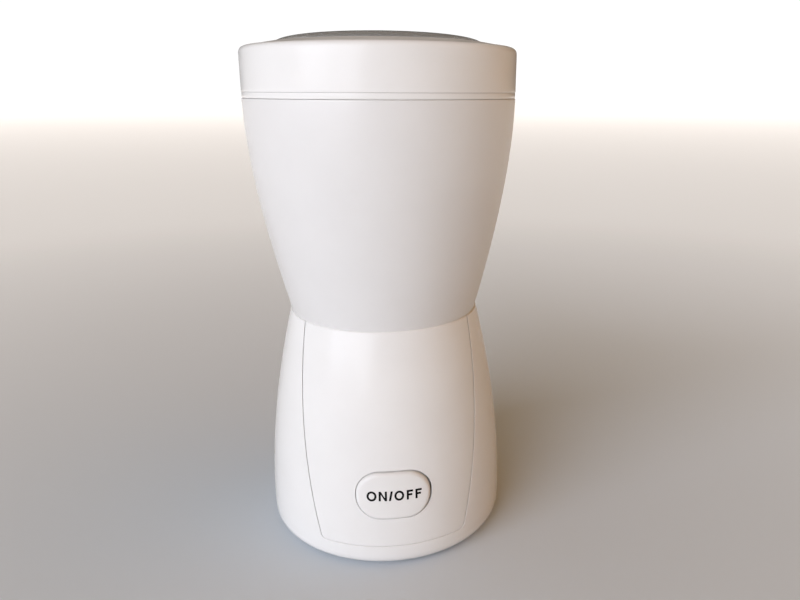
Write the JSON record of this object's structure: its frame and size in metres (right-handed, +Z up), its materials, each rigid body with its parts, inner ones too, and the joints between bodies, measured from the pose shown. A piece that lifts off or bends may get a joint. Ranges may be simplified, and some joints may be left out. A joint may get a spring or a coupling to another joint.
{
  "type": "electric spice grinder",
  "caption": "Waisted white electric spice grinder: lift-off lid with smoke window, steel bowl and blade, motor base with a push button.",
  "frame": {"origin": "on the resting surface under the shaft's axis, the centre of the overall box's base", "axes": "+Z up along the shaft, -Y out of the front panel and its button, +X to the right as seen from the front"},
  "size_m": [0.096, 0.096, 0.1855],
  "materials": {
    "gloss_white": "gloss",
    "satin_white": "satin",
    "inner_white": "matte",
    "black_plastic": "matte",
    "red_plastic": "satin",
    "smoke_window": "gloss",
    "rubber": "matte",
    "silicone": "satin",
    "polished_steel": "polished",
    "steel": "satin",
    "lamination": "satin",
    "copper": "satin",
    "brass": "satin",
    "carbon": "matte",
    "wire_sleeve": "satin",
    "ceramic_tube": "matte"
  },
  "bodies": {
    "root": {"base_casing": "gloss_white", "front_panel": "gloss_white", "base_plate": "inner_white", "rubber_feet": "rubber", "base_screws": "steel", "cable_gland": "rubber", "upper_casing": "satin_white", "bowl_ring": "gloss_white", "grinding_bowl": "polished_steel", "bowl_gasket": "rubber", "shaft_seal": "rubber", "stator_core": "lamination", "field_coils": "copper", "upper_bracket": "steel", "lower_bracket": "steel", "upper_bearing": "brass", "lower_bearing": "brass", "brush_holders": "brass", "carbon_brushes": "carbon", "brush_springs": "steel", "motor_screws": "steel", "motor_mounts": "rubber", "power_switch": "black_plastic", "switch_terminals": "brass", "switch_bracket": "inner_white", "switch_screws": "steel", "button_spring": "steel", "interlock_switch": "black_plastic", "interlock_bracket": "inner_white", "interlock_spring": "steel", "terminal_block": "inner_white", "thermal_fuse": "ceramic_tube", "wiring": "wire_sleeve"},
    "lid": {"lid_shell": "gloss_white", "lid_window": "smoke_window", "lid_seal": "silicone"},
    "button": {"power_button": "gloss_white"},
    "plunger": {"switch_plunger": "red_plastic"},
    "rotor": {"motor_shaft": "steel", "rotor_core": "lamination", "rotor_windings": "copper", "commutator": "copper", "shaft_washers": "black_plastic", "cooling_fan": "inner_white", "blade_hub": "black_plastic", "blade": "polished_steel", "blade_nut": "steel"},
    "pin": {"interlock_pin": "red_plastic"}
  },
  "joints": [
    {"name": "lid_lift", "type": "slide", "parent": "root", "child": "lid", "axis": [0, 0, 1], "range_m": [0, 0.04]},
    {"name": "button_press", "type": "slide", "parent": "root", "child": "button", "axis": [0, 1, 0], "range_m": [0, 0.002], "stiffness_N_per_m": 400, "springref_m": -0.003, "deforming": ["button_spring"]},
    {"name": "plunger_press", "type": "slide", "parent": "root", "child": "plunger", "axis": [0, 1, 0], "range_m": [0, 0.002]},
    {"name": "rotor_spin", "type": "hinge", "parent": "root", "child": "rotor", "pos_m": [0, 0, 0.05], "axis": [0, 0, 1], "continuous": true},
    {"name": "pin_rise", "type": "slide", "parent": "root", "child": "pin", "axis": [0, 0, 1], "range_m": [0, 0.003], "deforming": ["interlock_spring"]}
  ],
  "couplings": [
    {"joint": "plunger_press", "follows": "button_press", "ratio": 1},
    {"joint": "pin_rise", "follows": "lid_lift", "ratio": 0.075}
  ]
}
